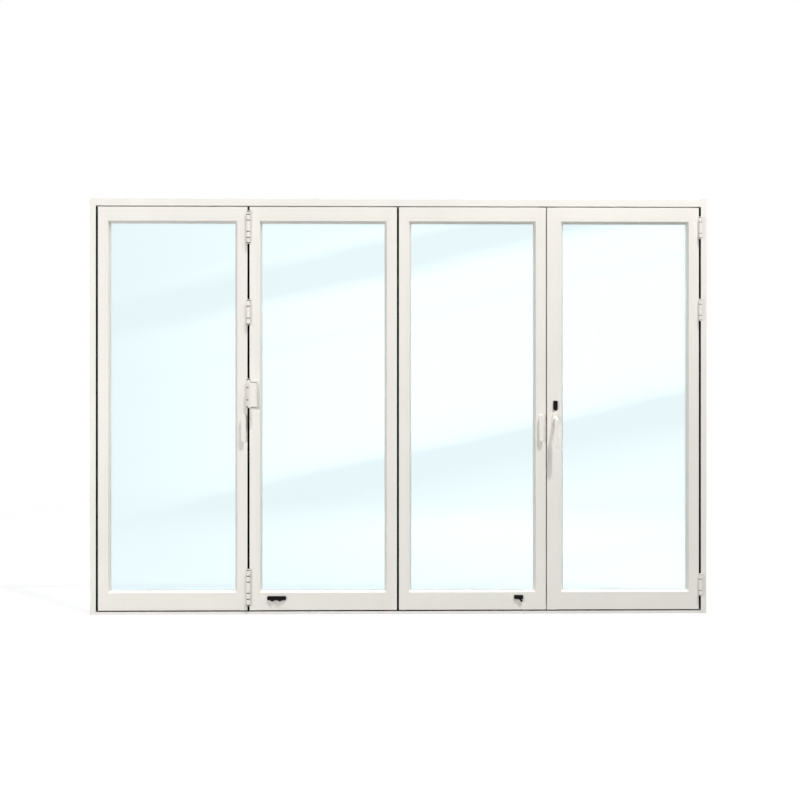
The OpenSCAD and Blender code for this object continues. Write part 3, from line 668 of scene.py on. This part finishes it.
class DOOR_OT_fit_hinges(bpy.types.Operator):
    """Coat the hinges and add the washers between their knuckles and the caps on their pins"""

    bl_idname = "patio_door.fit_hinges"
    bl_label = "Fit Hinges"

    def execute(self, context):
        paint, fittings = context.scene.door_paint, context.scene.door_fittings
        coat = enamel("hinge_enamel", paint.hardware_colour, roughness=0.3)
        nodes = (
            "inner_fold_hinges", "pull_hinge", "outer_fold_hinges", "outer_jamb_hinges",
            "door_hinge_frame_halves", "door_hinge_leaf_halves",
        )
        paint_nodes(nodes, coat)
        # Dark nylon for the washers, also used for the painted shade bands at the pull grip's ends
        nylon_and_shade = rubber("washer_nylon", paint.break_colour)
        axes = hinge_axes(fittings)
        for group, (names, x, y) in axes.items():
            self.fit_washers(group, names, x, y, fittings, nylon_and_shade)
            self.fit_caps(group, names, x, y, fittings, coat)
        self.fit_pull_plate(axes["pull"][1], fittings, coat, nylon_and_shade)
        return {"FINISHED"}

    def fit_pull_plate(self, axis_x, fittings, coat, dark):
        """The plate under the pull grip, and a dark band round each end of the grip. The bands are
        painted shade: dark pieces put where the grip's ends show shade lines.
        """
        low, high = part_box("pull_hinge")
        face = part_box("leaf2_left_stile")[0].y
        play, edge_radius, proud, inset, grip_depth = 0.8 * MM, 1.2 * MM, 0.2 * MM, 0.6 * MM, 12 * MM
        bm = bmesh.new()
        bevelled_block(
            bm, (axis_x + fittings.barrel_radius + play, face - fittings.plate_thickness, low.z),
            (axis_x + fittings.plate_reach, face, high.z), edge_radius,
        )
        piece_from("pull_hinge_plate", bm, coat, FIXED_BODY)
        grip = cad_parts["pull_hinge"].data.vertices
        top = max(vert.co.z for vert in grip if vert.co.y < low.y + grip_depth)
        # Dark bands at the grip's lower and upper ends: painted shade
        for name, bottom in (("lower", low.z + inset), ("upper", top - inset - fittings.shade_strip_height)):
            near = Vector((axis_x + 2 * fittings.barrel_radius, low.y - play, bottom))
            far = Vector((high.x + play, low.y + grip_depth, bottom + fittings.shade_strip_height))
            shade_strip = sleeve("pull_hinge", near, far, proud)
            piece_from(f"pull_grip_{name}_strip", shade_strip, dark, FIXED_BODY)

    def fit_washers(self, group, names, x, y, fittings, finish):
        """Dark rings that stand a little proud, and fill the knuckles' chamfers on the fixed hinges."""
        radius, play = fittings.barrel_radius, 0.15 * MM
        inner, outer = 4.3 * MM, radius + fittings.washer_lip
        neck = radius - fittings.knuckle_chamfer
        flare = 0 if group == "door" else outer - neck
        bm = bmesh.new()
        for low, high in knuckle_gaps(fittings, *names):
            low, high = low + play, high - play
            ring = (
                (inner, low), (neck, low), (outer, low - flare), (outer, high + flare), (neck, high),
                (inner, high), (inner, low),
            )
            turned(bm, ring, (x, y, 0), (0, 0, 1), fittings.segments)
        piece_from(f"{group}_hinge_washers", bm, finish, FIXED_BODY)

    def fit_caps(self, group, names, x, y, fittings, finish):
        """A domed cap on both ends of each hinge, on a short round foot."""
        inset, play, foot = 0.3 * MM, 0.05 * MM, 0.4 * MM
        radius, rise = fittings.barrel_radius - inset, fittings.cap_height
        turns = [math.radians(10 * step) for step in range(9)]
        dome = [(radius * math.cos(turn), rise * math.sin(turn) + foot) for turn in turns]
        profile = [(0, play), (radius, play), *dome, (0, rise + foot)]
        bm = bmesh.new()
        for low, high in hinge_spans(*names):
            turned(bm, profile, (x, y, high), (0, 0, 1), fittings.segments)
            turned(bm, profile, (x, y, low), (0, 0, -1), fittings.segments)
        piece_from(f"{group}_hinge_caps", bm, finish, FIXED_BODY)


class DOOR_OT_fit_handles(bpy.types.Operator):
    """Coat the lever, its roses, the flat handles and the lock covers"""

    bl_idname = "patio_door.fit_handles"
    bl_label = "Fit Handles"

    def execute(self, context):
        paint = context.scene.door_paint
        paint_nodes(("lever",), enamel("lever_enamel", paint.lever_colour, roughness=0.26))
        coat = enamel("handle_enamel", paint.hardware_colour, roughness=0.34)
        flat_handles = ("flat_handle_bases", "leaf1_flat_handle", "leaf3_flat_handle")
        paint_nodes(("lever_roses", *flat_handles), coat)
        black = black_metal("cover_black", paint.black_colour)
        paint_nodes(("lock_covers",), black)
        fittings = context.scene.door_fittings
        self.fit_key_cylinders(fittings, black)
        steel = bar_metal("lock_steel", context.scene.door_glass.spacer_colour)
        lock = sum(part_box("lever_roses"), Vector()) / 2
        setback = 13 * MM
        lock.y += setback
        self.fit_faceplate(lock, fittings, steel)
        self.fit_keeper(lock, fittings, steel)
        return {"FINISHED"}

    def fit_key_cylinders(self, fittings, finish):
        """A round key cylinder with a raised key guide in each lock cover's recess."""
        low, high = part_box("lock_covers")
        middle = (low + high) / 2
        rise, recess, rim = 8 * MM, 2 * MM, 0.4 * MM
        guide_width, guide_edge, guide_share = 1.1 * MM, 0.15 * MM, 0.6
        radius = fittings.key_radius
        bm = bmesh.new()
        for floor, side in ((low.y + recess, -1), (high.y - recess, 1)):
            centre = (middle.x, floor, middle.z + rise)
            profile = (
                (0, 0.5 * rim), (radius - rim, 0.5 * rim), (radius - rim, 2 * rim), (radius, rim),
                (radius, -rim), (0, -rim),
            )
            turned(bm, profile, centre, (0, side, 0), fittings.segments)
            edge = floor + side * 1.5 * rim
            bevelled_block(
                bm, (middle.x - guide_width / 2, min(floor, edge), centre[2] - guide_share * radius),
                (middle.x + guide_width / 2, max(floor, edge), centre[2] + guide_share * radius),
                guide_edge,
            )
        piece_from("key_cylinders", bm, finish, SWING_BODY)

    def fit_faceplate(self, middle, fittings, finish):
        """The lock's faceplate, with its latch and screws, on the swing leaf's edge."""
        step, thickness, edge_radius, screw_inset = 7 * MM, 2 * MM, 0.4 * MM, 10 * MM
        latch_reach, latch_foot, latch_radius = 3.5 * MM, 0.5 * MM, 1.2 * MM
        latch_depth, latch_height = 12 * MM, 18 * MM
        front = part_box("leaf4_lock_stile")[0].x + step
        back = front - thickness
        half_width, half_length = fittings.faceplate_width / 2, fittings.faceplate_length / 2
        bm = bmesh.new()
        bevelled_block(
            bm, (back, middle.y - half_width, middle.z - half_length),
            (front, middle.y + half_width, middle.z + half_length), edge_radius,
        )
        bevelled_block(
            bm, (back - latch_reach, middle.y - latch_depth / 2, middle.z - latch_height / 2),
            (back + latch_foot, middle.y + latch_depth / 2, middle.z + latch_height / 2), latch_radius,
        )
        for side in (-1, 1):
            place = (back, middle.y, middle.z + side * (half_length - screw_inset))
            screw(bm, place, (-1, 0, 0), fittings.screw_radius)
        piece_from("lock_faceplate", bm, finish, SWING_BODY)

    def fit_keeper(self, middle, fittings, finish):
        """The latch's keeper on the third leaf's edge: two plates and two bars round an opening."""
        shell_depth, thickness, edge_radius, screw_radius = 20 * MM, 1.2 * MM, 0.3 * MM, 2.6 * MM
        half_height, half_opening, bar_width, bar_lap = 42 * MM, 12 * MM, 4 * MM, 0.2 * MM
        half_width = fittings.faceplate_width / 2
        room_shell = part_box("leaf3_right_stile")[0].y + shell_depth
        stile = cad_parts["leaf3_right_stile"].data.vertices
        meeting = max(vert.co.x for vert in stile if vert.co.y < room_shell)
        bm = bmesh.new()
        for low, high in ((-half_height, -half_opening), (half_opening, half_height)):
            bevelled_block(
                bm, (meeting, middle.y - half_width, middle.z + low),
                (meeting + thickness, middle.y + half_width, middle.z + high), edge_radius,
            )
            place = (meeting + thickness, middle.y, middle.z + (low + high) / 2)
            screw(bm, place, (1, 0, 0), screw_radius)
        half_bar = half_opening + bar_lap
        for low, high in ((-half_width, bar_width - half_width), (half_width - bar_width, half_width)):
            bevelled_block(
                bm, (meeting, middle.y + low, middle.z - half_bar),
                (meeting + thickness, middle.y + high, middle.z + half_bar), edge_radius,
            )
        piece_from("latch_keeper", bm, finish, FIXED_BODY)


class DOOR_OT_fit_catches(bpy.types.Operator):
    """Coat the catches on the bottom rails and screw them down"""

    bl_idname = "patio_door.fit_catches"
    bl_label = "Fit Catches"

    def execute(self, context):
        finish = black_metal("catch_black", context.scene.door_paint.black_colour)
        paint_nodes(("bottom_catches",), finish)
        radius = context.scene.door_fittings.screw_radius
        thickness, plate_height, margin = 8 * MM, 20 * MM, 6.5 * MM
        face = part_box("leaf2_bottom_rail")[0].y - thickness
        points = [vert.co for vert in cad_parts["bottom_catches"].data.vertices]
        bm = bmesh.new()
        for catch in ([co for co in points if co.x < 0], [co for co in points if co.x > 0]):
            level = max(co.z for co in catch) - plate_height / 2
            ends = (min(co.x for co in catch) + margin, max(co.x for co in catch) - margin)
            for x in ends:
                screw(bm, (x, face, level), (0, -1, 0), radius)
        piece_from("catch_screws", bm, finish, FIXED_BODY)
        return {"FINISHED"}


class DOOR_OT_set_stage(bpy.types.Operator):
    """Set the camera, the lamps, the studio's light and the floor"""

    bl_idname = "patio_door.set_stage"
    bl_label = "Set Stage"

    def execute(self, context):
        stage = context.scene.door_stage
        self.set_camera(context, stage)
        self.set_world(context, stage)
        self.lay_floor(context, stage)
        self.hang_lamps(context, stage)
        context.scene.view_settings.view_transform = "Standard"
        return {"FINISHED"}

    def set_camera(self, context, stage):
        image_pixels, sensor_width = 800, 36
        data = bpy.data.cameras.new("front_camera")
        data.sensor_width = sensor_width
        data.lens = sensor_width * stage.camera_distance / (image_pixels * stage.pixel_size)
        camera = bpy.data.objects.new("front_camera", data)
        leaf_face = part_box("leaf1_left_stile")[0].y
        camera.location = (stage.camera_side, leaf_face - stage.camera_distance, stage.camera_height)
        turn = math.atan2(stage.aim_side - stage.camera_side, stage.camera_distance)
        camera.rotation_euler = (math.radians(90), 0, -turn)
        context.scene.collection.objects.link(camera)
        context.scene.camera = camera

    def set_world(self, context, stage):
        """White behind the door, soft bands in what it mirrors, and an even light from all sides."""
        world = bpy.data.worlds.new("studio")
        context.scene.world = world
        shader = Shader(world)
        bands = self.mirrored_brightness(shader, stage)
        path = shader.add("ShaderNodeLightPath")
        mirrored = shader.mirrored(path)
        plain = shader.spread(shader.seen(path), 0, 1, stage.ambient, 1)
        straight = shader.math("SUBTRACT", 1.0, mirrored)
        strength = shader.math(
            "ADD", shader.math("MULTIPLY", mirrored, bands), shader.math("MULTIPLY", straight, plain)
        )
        background = shader.add("ShaderNodeBackground")
        background.inputs["Color"].default_value = (1, 1, 1, 1)
        shader.link(strength, background.inputs["Strength"])
        shader.finish(background.outputs[0], "ShaderNodeOutputWorld")

    def mirrored_brightness(self, shader, stage):
        """Diagonal bands, placed as they cross the closed leaves in the camera's view."""
        axes = shader.add("ShaderNodeSeparateXYZ")
        shader.link(shader.add("ShaderNodeTexCoord").outputs["Generated"], axes.inputs[0])
        least_depth = 0.15
        depth = shader.math("MAXIMUM", shader.math("ABSOLUTE", axes.outputs["Y"]), least_depth)
        slopes = [shader.math("DIVIDE", axes.outputs[name], depth) for name in ("X", "Z")]
        along, rise = (shader.math("MULTIPLY", slope, stage.camera_distance) for slope in slopes)
        level = shader.math("SUBTRACT", rise, shader.math("MULTIPLY", along, BAND_SLOPE))
        across = shader.math("ADD", level, stage.camera_height)
        low, high = REFLECTION_BANDS[0][0], REFLECTION_BANDS[-1][0]
        ramp = shader.add("ShaderNodeValToRGB")
        stops = ramp.color_ramp.elements
        for index, (place, value) in enumerate(REFLECTION_BANDS):
            position = (place - low) / (high - low)
            stop = stops[index] if index < 2 else stops.new(position)
            stop.position = position
            stop.color = (value, value, value, 1)
        shader.link(shader.spread(across, low, high, 0, 1), ramp.inputs[0])
        short = shader.math("MAXIMUM", shader.math("SUBTRACT", FADE_HEIGHT, across), 0.0)
        place = shader.math("SUBTRACT", along, shader.math("MULTIPLY", short, FADE_LEAN))
        fade = shader.spread(place, FADED_AT, CLEAR_AT, FADED_SHARE, 1, smooth=True)
        share = shader.math("MULTIPLY", ramp.outputs[0], fade)
        return shader.spread(share, 0, 1, stage.dim_mirror, stage.bright_mirror)

    def lay_floor(self, context, stage):
        """A pale floor that is white to the camera and takes the door's shadow near the door."""
        bm = bmesh.new()
        bmesh.ops.create_grid(bm, x_segments=1, y_segments=1, size=stage.floor_size / 2)
        mesh = bpy.data.meshes.new("studio_floor")
        bm.to_mesh(mesh)
        bm.free()
        floor = bpy.data.objects.new("studio_floor", mesh)
        context.scene.collection.objects.link(floor)
        made, shader = material("floor_paint")
        path = shader.add("ShaderNodeLightPath")
        away = shader.add("ShaderNodeVectorMath", operation="LENGTH")
        shader.link(shader.object_point(), away.inputs[0])
        far = shader.spread(
            away.outputs["Value"], stage.floor_near, stage.floor_far, 0, 1, smooth=True
        )
        near = shader.add("ShaderNodeAddShader")
        shader.link(shader.matt(stage.floor_grey), near.inputs[0])
        shader.link(shader.glow(stage.floor_glow), near.inputs[1])
        lit = shader.mix(far, near.outputs[0], shader.glow(1.0))
        shown = shader.mix(shader.seen(path), shader.matt(stage.floor_bounce), lit)
        open_way = shader.add("ShaderNodeBsdfTransparent")
        shader.finish(shader.mix(shader.mirrored(path), shown, open_way.outputs[0]))
        mesh.materials.append(made)

    def hang_lamps(self, context, stage):
        """Square lamps aimed at the door's middle. Only the key lamp shows in what the door mirrors."""
        for name, (power, size, place) in LAMPS.items():
            data = bpy.data.lights.new(name, "AREA")
            data.energy = getattr(stage, power)
            data.size = size
            lamp = bpy.data.objects.new(name, data)
            lamp.location = place
            aim = Vector(LAMP_AIM) - Vector(place)
            lamp.rotation_euler = aim.to_track_quat("-Z", "Y").to_euler()
            lamp.visible_camera = False
            lamp.visible_transmission = False
            lamp.visible_glossy = name == "key_lamp"
            context.scene.collection.objects.link(lamp)


STEPS = (
    DOOR_OT_paint_frame, DOOR_OT_paint_leaves, DOOR_OT_glaze, DOOR_OT_fit_seals, DOOR_OT_fit_hinges,
    DOOR_OT_fit_handles, DOOR_OT_fit_catches, DOOR_OT_set_stage,
)


class DOOR_PT_finisher(bpy.types.Panel):
    """Lists the steps that finish the door."""

    bl_idname = "DOOR_PT_finisher"
    bl_label = "Patio Door"
    bl_space_type = "VIEW_3D"
    bl_region_type = "UI"
    bl_category = "Patio Door"

    def draw(self, context):
        scene = context.scene
        for group in (scene.door_paint, scene.door_glass, scene.door_fittings, scene.door_stage):
            box = self.layout.box()
            for name in group.bl_rna.properties.keys():
                if name not in ("rna_type", "name"):
                    box.prop(group, name)
        for step in STEPS:
            self.layout.operator(step.bl_idname)


SETTINGS = {
    "door_paint": PaintSettings,
    "door_glass": GlassSettings,
    "door_fittings": FittingSettings,
    "door_stage": StageSettings,
}
CLASSES = (*SETTINGS.values(), *STEPS, DOOR_PT_finisher)


def register():
    for made in CLASSES:
        bpy.utils.register_class(made)
    for name, group in SETTINGS.items():
        setattr(bpy.types.Scene, name, PointerProperty(type=group))


def unregister():
    for name in SETTINGS:
        delattr(bpy.types.Scene, name)
    for made in reversed(CLASSES):
        bpy.utils.unregister_class(made)


def main():
    register()
    for step in STEPS:
        group, name = step.bl_idname.split(".")
        getattr(getattr(bpy.ops, group), name)()


if __name__ == "__main__":
    main()
